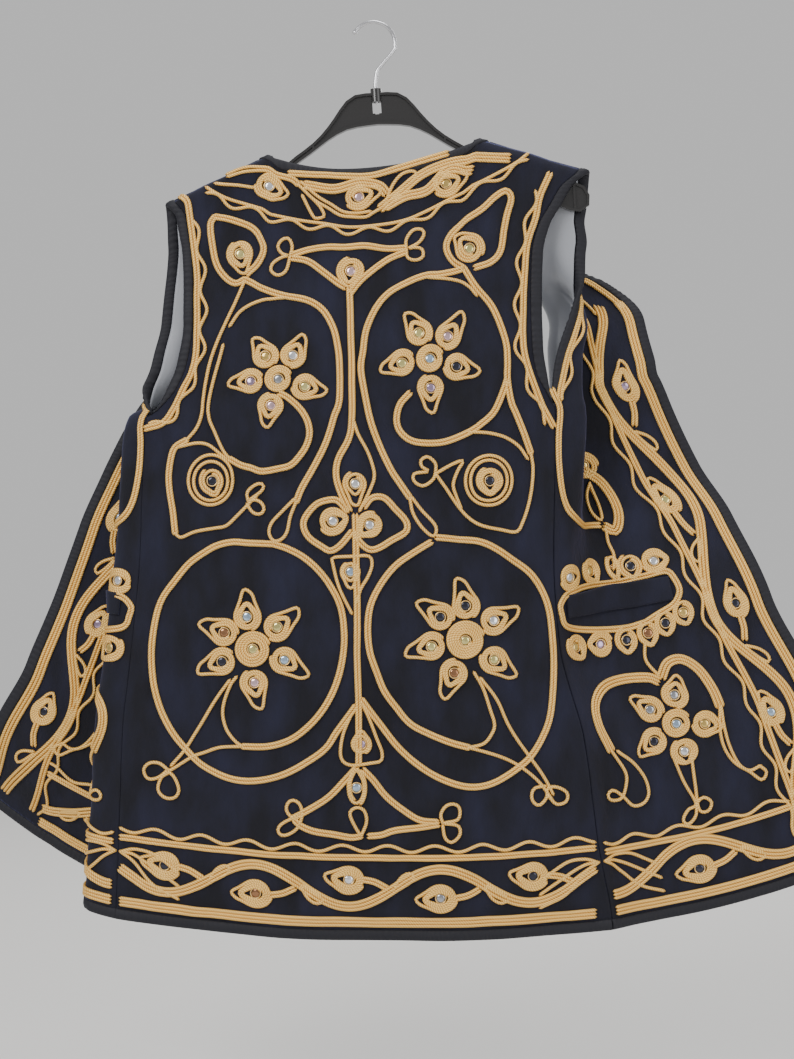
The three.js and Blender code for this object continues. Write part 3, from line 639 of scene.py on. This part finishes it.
# the wandering lines of the back: strands, then places as across, down
backLines = [
    (1, "-135,12 -118,22 -95,31 -74,38 -53,44 -31,49 -10,54 8,55 39,53 59,47 88,34 113,25 138,14 154,5"),
    (2, "-61,0 -31,4 -10,7 14,8 39,3 64,-3 82,-7"),
    (3, "-47,12 -21,18 2,14 20,18 27,26"), (3, "27,38 44,30 64,26 84,8 104,13"),
    (1, "-53,11 -39,26 -26,35 -15,43 -5,45 8,46 14,43 22,39"), (1, "-50,9 -36,23 -23,32 -12,40 0,42 12,41"),
    (3, "22,39 39,26 57,12 76,4 95,1 113,3 138,6"), (2, "-116,2 -100,-2 -84,-2 -69,2 -58,6 -53,11"),
    (1, "-49,22 -39,42 -34,44 -29,42 -34,32 -44,21"), (1, "27,32 33,18 41,9 51,7 54,11 49,18 32,30"),
    (1, "-127,9 -108,11 -94,14"), (2, "-101,96 -109,99 -118,93 -126,81 -130,64 -132,45 -128,38"),
    (2, "-128,38 -113,42 -95,50 -86,61 -84,70 -90,83 -99,92"),
    (2, "97,101 86,92 81,80 85,69 95,60 113,50 125,40 135,35 140,42 136,57 133,71 130,88 122,97 107,101"),
    (1, "-60,77 -58,69 -61,61 -67,61 -71,67 -67,74 -60,77 -66,77 -75,82 -77,89 -71,94 -64,91 -61,83 -60,77"),
    (2, "-58,76 -42,72 -26,71 -10,73 8,73 27,77 44,78"), (2, "-58,79 -44,83 -31,93 -17,105 -10,110"),
    (2, "-5,115 6,103 27,88 44,82"),
    (1, "45,79 45,70 51,62 59,62 61,67 56,74 46,79 52,78 59,80 60,87 53,90 46,87 45,79"),
    (2, "-6,111 -5,150 -4,190 -4,231 -7,247 -16,264 -18,279 -14,294 -6,311"),
    (1, "-2,231 2,243 10,258 15,272 16,282 11,295 3,311"),
    (2, "-101,96 -84,105 -65,113 -44,119 -30,129 -21,145 -17,161 -15,179 -15,211 -20,226 -27,249 -38,271 "
        "-49,290 -54,302"), (1, "-54,302 -59,315 -62,329 -67,336 -74,337 -78,330 -76,321 -67,311 -56,300"),
    (1, "-101,98 -109,116 -116,130 -125,151 -131,169 -136,191 -138,207 -139,220 -144,233 -153,244"),
    (2, "-153,244 -163,250 -167,260 -169,275 -168,291 -165,312 -163,329"),
    (1, "-163,329 -158,333 -145,328 -127,325 -117,323 -107,314 -97,304 -89,296"),
    (1, "-114,137 -104,124 -87,116 -74,115 -63,115"),
    (1, "-120,155 -131,198 -133,221 -127,238 -120,254 -114,262"),
    (2, "-114,262 -104,268 -94,271 -85,274 -71,272 -59,269 -51,261 -45,252 -42,242 -43,232 -47,223 -54,214 "
        "-63,206 -69,203"), (1, "-160,250 -144,247 -133,249 -123,257 -117,262"),
    (1, "-97,301 -98,293 -92,287 -86,285 -83,288 -86,293 -97,301 -90,300 -84,304 -83,310 -87,313 -93,311 "
        "-98,304"),
    (2, "97,101 76,104 64,104 49,108 30,117 18,130 9,149 6,168 4,182 6,198 12,228 20,251 30,273 "
        "39,287 48,300"),
    (1, "48,300 51,314 59,327 69,335 71,326 59,312 50,300"),
    (2, "97,101 107,117 123,137 134,164 136,182 136,197 139,216 144,228 151,245 157,262"),
    (1, "157,262 159,275 158,292 155,308 150,323 144,332 130,330 113,326 101,319 91,308 81,293 71,279"),
    (1, "64,106 88,110 101,117 108,125"),
    (2, "136,197 133,206 124,225 112,236 101,243 83,250 69,252 51,250 40,242 36,231 39,217 48,207"),
    (1, "101,243 108,243 120,244 134,248 146,256 154,267"),
    (1, "73,278 86,271 96,268 91,277 87,289 90,300 94,310"),
    (1, "71,278 71,270 64,264 58,267 59,273 65,277 52,279 52,286 60,290 69,284 71,278"),
    (2, "-8,311 -16,302 -24,301 -36,305 -46,317 -47,326 -42,335 -31,343 -23,347 -14,342 -4,330"),
    (2, "7,308 14,300 25,300 35,310 44,320 46,327 43,332 32,338 20,345 11,346 2,338 0,329"),
    (2, "-1,315 0,360 1,400 1,440 2,481"),
    (1, "-4,403 -15,380 -21,358 -20,353 -5,352 11,352 14,360 10,371 4,381 0,394"),
    (2, "-74,340 -96,339 -111,338 -125,341 -136,347 -151,358 -165,375 -176,391 -182,409 -185,434 -185,453 "
        "-182,473 -176,493 -165,513 -153,527 -139,540 -120,550 -102,554 -83,553 -63,547 -43,536 -27,524 "
        "-17,509 -1,487"),
    (2, "-74,340 -62,344 -48,352 -35,363 -24,377 -15,394 -11,414 -11,434 -15,457 -23,478 -34,495 -48,509 "
        "-62,518 -80,523 -102,523"), (1, "-102,523 -108,519 -116,509 -120,496 -119,484 -113,468 -108,461"),
    (1, "-102,523 -122,524 -137,529 -148,533 -164,543 -176,550"),
    (1, "-114,464 -127,482 -142,507 -154,526 -167,541"),
    (1, "-170,545 -178,539 -187,539 -192,545 -188,553 -179,552 -170,545"),
    (1, "-170,548 -176,552 -179,563 -173,570 -164,570 -160,563 -164,552 -170,546"),
    (2, "72,336 89,338 110,340 126,347 141,357 157,369 168,385 174,403 177,428 178,453 177,478 174,499 "
        "168,515 160,529 151,539 135,550 117,558 98,559 76,552 55,539 38,524 22,504 5,481"),
    (2, "67,340 52,349 35,361 22,377 13,395 10,416 12,437 18,456 25,473 36,488 48,502 64,511 83,519 101,524"),
    (1, "101,524 114,521 121,513 124,504 120,490 114,471 106,457"),
    (1, "101,524 118,529 132,534 146,541 157,549 166,558 176,572"),
    (1, "112,462 126,481 137,505 154,530 168,550 177,567"),
    (1, "170,560 160,562 158,571 164,577 171,570 172,562 181,561 190,566 189,574 180,576 172,568"),
    (2, "2,481 2,500 2,520 2,539"),
    (1, "-5,495 -11,509 -14,522 -14,532 -10,538 -2,540 14,538 22,536 23,528 18,515 11,497 5,484"),
    (2, "0,542 -10,553 -25,568 -42,579 -57,587"),
    (1, "-57,587 -62,581 -62,575 -58,571 -52,573 -49,579 -49,587 -53,596 -62,602 -68,602 -70,597 -65,591 "
        "-51,584"), (2, "-55,589 -49,594 -37,599 -20,602 -5,605 4,604"),
    (1, "4,604 -2,594 -6,583 0,578 7,581 9,591 4,604"), (2, "11,604 23,603 35,599 57,596 74,593"),
    (2, "6,544 15,553 27,568 42,580 57,589 73,591"),
    (1, "78,592 76,584 81,576 89,575 93,580 91,589 78,592 91,594 93,602 86,609 80,605 78,594"),
]
wavyLines = [
    "-135,16 -118,26 -95,35 -74,42 -53,48 -31,53 -10,58 8,59 39,57 59,51 88,38 113,29 138,18 154,9",
    "-148,40 -142,62 -139,89 -138,111 -139,153 -142,177 -150,193 -166,222 -186,230",
    "162,38 156,61 149,85 146,121 145,160 148,181 160,213 172,235",
]
straightLines = [
    (2, "-159,17 -153,23 -150,41 -147,62 -144,89 -144,111 -144,153 -148,179 -156,195 -172,225 -191,232"),
    (2, "175,23 166,42 162,61 154,85 151,121 150,160 153,183 166,217 178,239"),
]
# coils: across, down, width, height, tip across, tip down, foil
backCoils = [
    (-79, 13, 13, 12, -60, 22, "white"), (2, 27, 13, 12, 27, 21, "pink"), (81, 21, 13, 12, 104, 13, "gold"),
    (-105, 73, 11.5, 12, -101, 94, "yellow"), (102, 84, 13, 13, 88, 68, "yellow"),
    (-5, 95, 12.5, 12.5, -8, 111, "pink"), (-1, 287, 10.5, 11, -1, 312, "white"),
    (-21, 320, 12.5, 12.5, -7, 317, "white"), (12, 324, 11.5, 11.5, 2, 334, "white"),
    (-5, 366, 8.5, 9, -5, 384, "blue"), (0, 560, 8.5, 17, 0, 543, "blue"), (4, 521, 9, 9, 4, 507, "mauve"),
    (-130, 282, 11, 12.5, -127, 297, "dark"), (120, 286, 11.7, 11.7, 120, 300, "dark"),
]
rings = [ # loose oval turns round two coils: across, down, width, height
    (-131, 281, 20, 23), (-131, 282, 15.5, 18), (119, 286, 21, 22), (119, 286, 16.5, 18),
]
flowers = [ # across, down, ring, coil, centre foil, then each petal's angle, tip angle, tip reach, foil
    (-70, 190, 25, 11.5, "grey", [(118, 118, 50, "gold"), (59, 59, 50, "white"), (-18, -18, 50, "yellow"),
                                  (-105, -105, 50, "pink"), (-178, -178, 50, "mauve")]),
    (66, 178, 25, 11.5, "blue", [(113, 117, 52, "yellow"), (50, 52, 56, "pink"), (-17, -17, 52, "dark"),
                                 (-88, -89, 53, "mauve"), (-174, -170, 50, "yellow")]),
    (-93, 436, 30, 12.5, "yellow", [(100, 95, 62, "blue"), (43, 40, 62, "yellow"), (-18, -28, 62, "blue"),
                                    (-87, -83, 60, "pink"), (-158, -159, 60, "dark"),
                                    (150, 153, 60, "brown")]),
    (98, 428, 31, 12.5, "yellow", [(90, 97, 63, "dark"), (35, 28, 63, "white"), (-34, -37, 63, "yellow"),
                                   (-109, -112, 62, "brown"), (-170, -168, 62, "yellow"),
                                   (137, 141, 62, "dark")]),
]


def places(text):
    return [[float(n) for n in pair.split(",")] for pair in text.split()]


def wavy(path, height=3.0, length=36.0):
    dense = smoothPath(path, 1.5)
    run = np.arange(len(dense)) * 1.5
    d = np.gradient(dense, axis=0)
    d /= np.linalg.norm(d, axis=1, keepdims=True) + 1e-9
    aside = np.stack([d[:, 1], -d[:, 0]], axis=1)
    return dense + (height * np.sin(run * 2 * math.pi / length))[:, None] * aside


def addFlower(work, x, y, ring, coil, centre, petals): # a coil with a star of pointed coils round it
    work.coil(x, y, ring - coil - 1.5, colour=centre)
    for angle, tipAngle, reach, foil in petals:
        a, t = math.radians(angle), math.radians(tipAngle)
        work.coil(x + ring * math.cos(a), y - ring * math.sin(a), coil,
                  tip=(x + reach * math.cos(t), y - reach * math.sin(t)), colour=foil)


for strands, text in backLines + straightLines:
    back.run(places(text), strands)
for text in wavyLines:
    back.run(wavy(places(text)))
for x, y, rx, ry, tipX, tipY, foil in backCoils:
    back.coil(x, y, rx, ry, (tipX, tipY), foil)
turnOnce = np.linspace(0, 2 * math.pi, 24)
for x, y, rx, ry in rings:
    back.run(np.stack([x + rx * np.cos(turnOnce), y + ry * np.sin(turnOnce)], axis=1))
for flower in flowers:
    addFlower(back, *flower)


border = { # heights from the edge, and the sizes of an eye and of what follows it
    "outerBand": 17, "waveMiddle": 48, "waveSwing": 17, "eyeOverTrough": 55, "eyeUnderCrest": 39,
    "eyeWide": 14.5, "eyeTall": 12.5, "tipReach": 25, "clear": 16, "leafEnd": 60, "seamKnot": 62,
    "tail": [(14, 0), (24, -2), (34, -7)], "leaf": [(40, -9), (46, 1), (54, 6), (60, 3), (54, -3), (42, -10)],
    "fan": [(46, 30, 22), (60, 46, 34), (70, 58, 46)],
}


# the running border: a straight pair, a wavy cord, an outer band, and a waving bundle with eyes
def borderRun(work, place, start, end, phase, high, foilsInTurn, wave=83.0, tall=1.0, fans=()):
    along = np.arange(start, end, 4.0)
    level = lambda h: np.stack([along, np.full(len(along), h * tall)], axis=1)
    work.run(level(high), 2, place)
    work.run(wavy(level(high + 8 / tall), 3.0, 42.0), 1, place)
    work.run(level(border["outerBand"]), 3, place)
    swing = border["waveMiddle"] + border["waveSwing"] * np.cos((along - phase) * math.pi / wave)
    work.run(np.stack([along, swing * tall], axis=1), 3, place)
    knot = border["seamKnot"]
    for x, way in fans: # the cords gathered at a side seam
        for near, middle, far in border["fan"]:
            work.run([[x, knot * tall], [x + way * 12, (near + knot) / 2 * tall],
                      [x + way * 30, middle * tall + 6], [x + way * 52, far * tall + 4]], 1, place)
    count = 0
    for k in range(-9, 10):
        crest = phase + 2 * k * wave
        for x, h, flip in ((crest + wave, border["eyeOverTrough"], 1), (crest, border["eyeUnderCrest"], -1)):
            if x < start + border["clear"] or x > end - border["clear"]:
                continue
            foil = foilsInTurn[count % len(foilsInTurn)]
            count += 1
            work.coil(x, h * tall, border["eyeWide"], border["eyeTall"] * tall,
                      (x - border["tipReach"], (h + 3 * flip) * tall), foil, place)
            work.run([[x + ahead, (h + up * flip) * tall] for ahead, up in border["tail"]], 2, place)
            if x + border["leafEnd"] < end:
                work.run([[x + ahead, (h + up * flip) * tall] for ahead, up in border["leaf"]], 1, place)


def hemPlace(x, h):
    guess = x
    for _ in range(3):
        d = hemDrop(guess) - h
        share, _ = backPlace(x, d)
        guess = share * cut["hemHalf"]
    return share, hemDrop(share * cut["hemHalf"]) - h


borderRun(back, hemPlace, -213, 218, 76, 75, ["dark", "white", "brown", "dark", "grey", "yellow"],
          fans=((-213, 1), (218, -1)))
works = {"back": back}
frontLines = [ # strands, then places as in from the side seam, down
    (2, "-1,208 4,222 2,246 3,274 9,302 22,320 48,331 76,334"),
    (3, "82,284 94,296 99,312 97,328 88,341 80,336"),
    (1, "80,338 78,350 80,362 76,374"), (1, "84,296 76,308 74,322 80,330 84,316 84,298"),
    (2, "4,404 4,397 16,388 38,385 72,386 102,385 122,384 128,392 130,404 122,414 106,420 94,425"),
    (2, "94,425 74,427 42,424 10,417 4,404"), (1, "90,444 86,459 92,474"),
    (3, "90,479 82,474 60,472 38,476 22,490 19,509 27,532"),
    (1, "27,532 38,552 38,564 32,576 22,577 18,572 24,568 34,576 42,585 52,584 58,576 56,562 46,546 34,534"),
    (3, "94,476 104,465 117,464 128,475 134,494 136,512"),
    (1, "136,512 132,532 133,550 140,566 152,577 162,576"),
    (1, "162,576 167,583 162,589 153,579 144,569 138,550 136,530 137,512"),
    (1, "86,548 92,572 100,594 92,598 86,606 90,611 98,605 101,594 108,590 114,596 110,603 "
        "102,600 102,578 102,552"),
]
frontCoils = [ # across, down, width, height, tip across, tip down, foil
    (84, 280, 13, 12, 50, 264, "gold"), (18, 374, 12, 11.5, 30, 374, "white"),
    (50, 372, 12, 11.5, 56, 384, "gold"),
    (76, 372, 6.5, 11, 77, 386, "brown"), (92, 374, 11, 11, 92, 386, "dark"),
    (114, 373, 12, 11, 128, 374, "white"),
    (20, 437, 12.5, 12, 26, 449, "gold"), (48, 438, 12, 12, 34, 436, "mauve"),
    (74, 438, 10.5, 12, 72, 451, "dark"),
    (95, 435, 9.5, 11.5, 95, 448, "brown"), (112, 429, 9.5, 11.5, 112, 441, "dark"),
    (130, 423, 9.5, 11.5, 132, 435, "gold"),
]
for side, sign in signs.items():
    table = frontTables[side]
    foot = float(hemDrop(np.array(sign * cut["hemHalf"])))
    work = works[side] = Work(side, lambda u, v: (u, v))
    edgePlace = lambda v, e, table=table: (curveAt(table, "width", v) - e, v)
    borderRun(work, edgePlace, 150, foot - 22, 219 if side == "right" else 334, 64,
              ["yellow", "mauve", "blue", "dark", "white"], wave=104.0 if side == "right" else 112.0,
              tall=0.86)
    wide = float(curveAt(table, "width", np.array(foot)))
    borderRun(work, lambda s, h, foot=foot: (s, foot - h), 6, wide - 66, 92, 70,
              ["dark", "yellow", "white"], fans=((3, 1),))
    work.run([[13, 40], [12, 90], [12, 150], [10, 190], [6, 216]], 2)
    work.run(wavy([[18, 42], [17, 90], [17, 150], [15, 190], [11, 216]]))
    upper = np.arange(34, 156, 6.0)
    work.run(np.stack([curveAt(table, "width", upper) - 15, upper], axis=1), 2)
    work.run(np.stack([curveAt(table, "width", upper) - 42, upper], axis=1), 1)
    # the pocket's wreath, above and below the mouth
    for text in frontLines:
        work.run(places(text[1]), text[0])
    for x, y, rx, ry, tipX, tipY, foil in frontCoils:
        work.coil(x, y, rx, ry, (tipX, tipY), foil)
    addFlower(work, 94, 519, 26, 12, "blue", [(78, 70, 47, "grey"), (140, 138, 49, "grey"),
              (208, 208, 50, "dark"), (-84, -84, 30, "white"), (-12, -18, 44, "gold")])
print("the drawing is set out")


def sewCords(work, title):
    panel = panels[work.kind]
    around = np.linspace(0, 2 * math.pi, 7)
    ringsOf, mapped, gaps, total = [], [], [], 0
    for path, place in work.paths:
        u, v = place(path[:, 0], path[:, 1])
        centre, outs = lay(panel, u, v, cut["velvetTop"] + cordSize["lift"])
        ahead = np.gradient(centre, axis=0)
        ahead /= np.linalg.norm(ahead, axis=1, keepdims=True) + 1e-9
        aside = np.cross(ahead, outs)
        aside /= np.linalg.norm(aside, axis=1, keepdims=True) + 1e-9
        size = np.full(len(path), cordSize["radius"])
        size[0] = size[-1] = 0
        ring = centre[:, None] + size[:, None, None] * (
            np.cos(around)[None, :, None] * aside[:, None] + np.sin(around)[None, :, None] * outs[:, None])
        run = np.concatenate([[0], np.cumsum(np.linalg.norm(np.diff(centre, axis=0), axis=1))])
        ringsOf.append(ring)
        mapped.append(np.stack(np.broadcast_arrays(run[:, None] / 6, around[None, :] / 6.283), axis=-1))
        total += len(path)
        gaps.append(total - 1)
    made = gridPiece("cords " + title, np.concatenate(ringsOf), np.concatenate(mapped),
                     [cordGold], gaps=gaps[:-1] or [-5])
    return made


def sewMirrors(work, title): # shallow domes and the wires round them
    panel = panels[work.kind]
    turns = np.linspace(0, 2 * math.pi, 21)
    domeShape = [(0, 0.6), (0.5, 0.55), (0.85, 0.35), (1.0, -0.2), (0.9, -1.2), (0, -1.2)]
    rimShape = [(1.0, 0.2), (1.06, 0.75), (1.18, 0.85), (1.3, 0.6), (1.32, -0.8), (1.0, -0.8), (1.0, 0.2)]
    for name, shape in (("mirrors ", domeShape), ("rims ", rimShape)):
        ringsOf, gaps, foilOf, total = [], [], [], 0
        for x, y, foil, radius, place in work.discs:
            u, v = place(np.array([x, x + 0.5, x]), np.array([y, y, y + 0.5]))
            spot, out = lay(panel, u, v, cut["velvetTop"] + 0.9)
            tangent = spot[1] - spot[0]
            tangent /= np.linalg.norm(tangent) + 1e-9
            other = np.cross(out[0], tangent)
            for reach, high in shape:
                flat = radius * reach
                ringsOf.append(spot[0] + flat * (np.cos(turns)[:, None] * tangent
                                                 + np.sin(turns)[:, None] * other) + high * out[0])
            total += len(shape)
            gaps.append(total - 1)
            foilOf.append(foil)
        points = np.stack(ringsOf)
        uvs = np.zeros(points.shape[:2] + (2,))
        uvs[..., 0] = np.linspace(0, 1, points.shape[1])[None, :]
        uvs[..., 1] = (np.arange(len(points)) % len(shape))[:, None] / 6
        uvs[..., 1] += (np.arange(len(points)) // len(shape))[:, None] # tells the discs apart
        made = gridPiece(name + title, points, uvs,
                         mirrors if name == "mirrors " else [rim], gaps=gaps[:-1] or [-5])
        if name == "mirrors ":
            layer = made.data.uv_layers["UVMap"].data
            for face in made.data.polygons:
                discNumber = int(layer[face.loop_indices[0]].uv[1] + 1e-4)
                face.material_index = foilOf[min(discNumber, len(foilOf) - 1)]


for kind, work in works.items():
    sewCords(work, titles[kind])
    sewMirrors(work, titles[kind])
    print("sewn:", titles[kind], len(work.paths), "cords", len(work.discs), "mirrors")


# Hanger and hook
def finishFrom(name, nodeName, material, width):
    source = nodes[nodeName]["object"] if isinstance(nodes[nodeName], dict) else nodes[nodeName]
    bm = bmesh.new()
    bm.from_mesh(source.data)
    bmesh.ops.remove_doubles(bm, verts=bm.verts, dist=1e-5)
    bmesh.ops.dissolve_limit(bm, angle_limit=0.02, verts=bm.verts, edges=bm.edges)
    if width:
        sharp = [e for e in bm.edges if len(e.link_faces) == 2 and e.calc_face_angle() > 0.6]
        bmesh.ops.bevel(bm, geom=sharp, offset=width * mm, offset_type="OFFSET", segments=2, profile=0.5,
                        affect="EDGES", clamp_overlap=True, material=-1)
    for face in bm.faces:
        face.smooth = True
    name = name.replace(" ", "_")
    mesh = bpy.data.meshes.new(name)
    bm.to_mesh(mesh)
    bm.free()
    mesh.materials.append(material)
    made = bpy.data.objects.new(name, mesh)
    bpy.context.collection.objects.link(made)
    made.matrix_world = source.matrix_world
    made.modifiers.new("shade", "WEIGHTED_NORMAL").keep_sharp = True
    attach(made, "root")
    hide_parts(nodeName)


finishFrom("hanger", "hanger_body", plastic, 0.4)
hook = {"radius": 19.7, "wire": 1.7, "stemX": 2.5, "stemZ": -63.4, "tilt": 3.6}
bend = np.radians(np.linspace(155, -28, 90))
onStem = [[hook["stemX"] - (z - hook["stemZ"]) * math.tan(math.radians(hook["tilt"])), z]
          for z in (-54.5, -60, -66, -73.4)]
route = smoothPath(np.vstack([
    np.stack([hook["radius"] * np.cos(bend), -18 + hook["radius"] * np.sin(bend)], axis=1)[::6],
    [[8, -37], [3.4, -43.5]], onStem]), 0.8)
size = np.full(len(route), hook["wire"])
size += 0.6 * np.exp(-((np.arange(len(route)) - 3) / 1.6) ** 2) # the rounded tip
size[0] = size[-1] = 0
ahead = np.gradient(route, axis=0)
ahead /= np.linalg.norm(ahead, axis=1, keepdims=True)
around = np.linspace(0, 2 * math.pi, 17)
tube = np.zeros((len(route), 17, 3))
tube[..., 0] = route[:, :1] + size[:, None] * np.cos(around) * -ahead[:, 1:2]
tube[..., 2] = route[:, 1:] + size[:, None] * np.cos(around) * ahead[:, :1]
tube[..., 1] = size[:, None] * np.sin(around)
uvs = np.stack(np.broadcast_arrays(np.linspace(0, 12, len(route))[:, None], np.linspace(0, 1, 17)), axis=-1)
hookPiece = gridPiece("hook", tube, uvs, [wire], gaps=[-5])
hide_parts("hanger_hook")
print("hanger and hook")

# Floor, light, camera
bpy.ops.mesh.primitive_plane_add(size=8, location=(0, 0, -1.02))
floor = bpy.context.object
floor.name = "floor"
floor.data.materials.append(newMaterial("floor", look["floor"], 0.9))
world = bpy.context.scene.world or bpy.data.worlds.new("world")
bpy.context.scene.world = world
world.use_nodes = True
world.node_tree.nodes["Background"].inputs["Color"].default_value = (*look["world"], 1)
world.node_tree.nodes["Background"].inputs["Strength"].default_value = 0.75
lamps = [ # name, place, aim, size, watts
    ("window", (-1.5, -2.1, 0.9), (0, 0, -0.42), 1.4, 52), ("fill", (1.9, -1.8, -0.1),
    (0, 0, -0.45), 1.6, 20),
    ("top", (0.3, -0.2, 1.9), (0, 0, -0.4), 1.2, 26), ("behind", (0.6, 2.0, 0.6), (0, 0, -0.4), 1.4, 22),
]
for name, place, aim, wide, power in lamps:
    data = bpy.data.lights.new(name, "AREA")
    data.size, data.energy = wide, power
    lamp = bpy.data.objects.new(name, data)
    lamp.location = place
    lamp.rotation_euler = (Vector(aim) - Vector(place)).to_track_quat("-Z", "Y").to_euler()
    bpy.context.collection.objects.link(lamp)
lens = bpy.data.cameras.new("camera")
lens.lens = 68.0
lens.sensor_width = 36
camera = bpy.data.objects.new("camera", lens)
camera.location = (0.0216, -1.82, -0.460)
camera.rotation_euler = (math.radians(90), 0, 0)
bpy.context.collection.objects.link(camera)
bpy.context.scene.camera = camera
